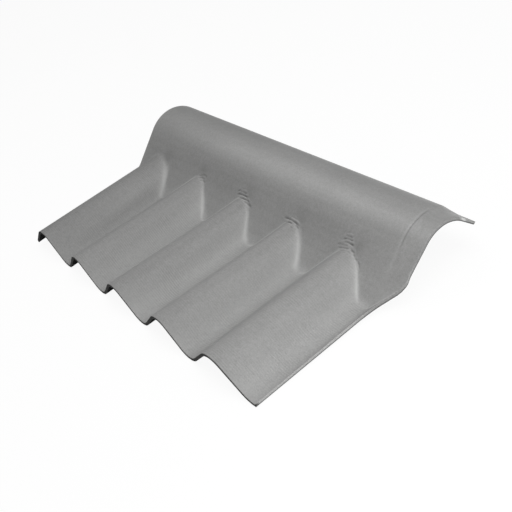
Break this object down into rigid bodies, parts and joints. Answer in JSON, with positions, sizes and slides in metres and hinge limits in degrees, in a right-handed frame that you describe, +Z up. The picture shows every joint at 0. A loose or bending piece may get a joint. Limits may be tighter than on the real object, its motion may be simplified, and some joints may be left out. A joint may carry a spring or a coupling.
{
  "type": "roof ridge cap",
  "caption": "Moulded fibre-cement ridge cap half: corrugated wing that nests on a wavy roof sheet, rising to a smooth half-round roll with a stepped lap at one end.",
  "frame": {"origin": "centre of the outline on the plane of the valley lines, which is the floor it lies on", "axes": "+X along the ridge towards the stepped lap, +Y from the eave edge to the free edge of the roll, +Z up"},
  "size_m": [0.92, 0.5228, 0.1189],
  "materials": {
    "fibre_cement": "matt, unpainted grey fibre cement"
  },
  "bodies": {
    "root": {"ridge_cap": "fibre_cement"}
  },
  "joints": []
}
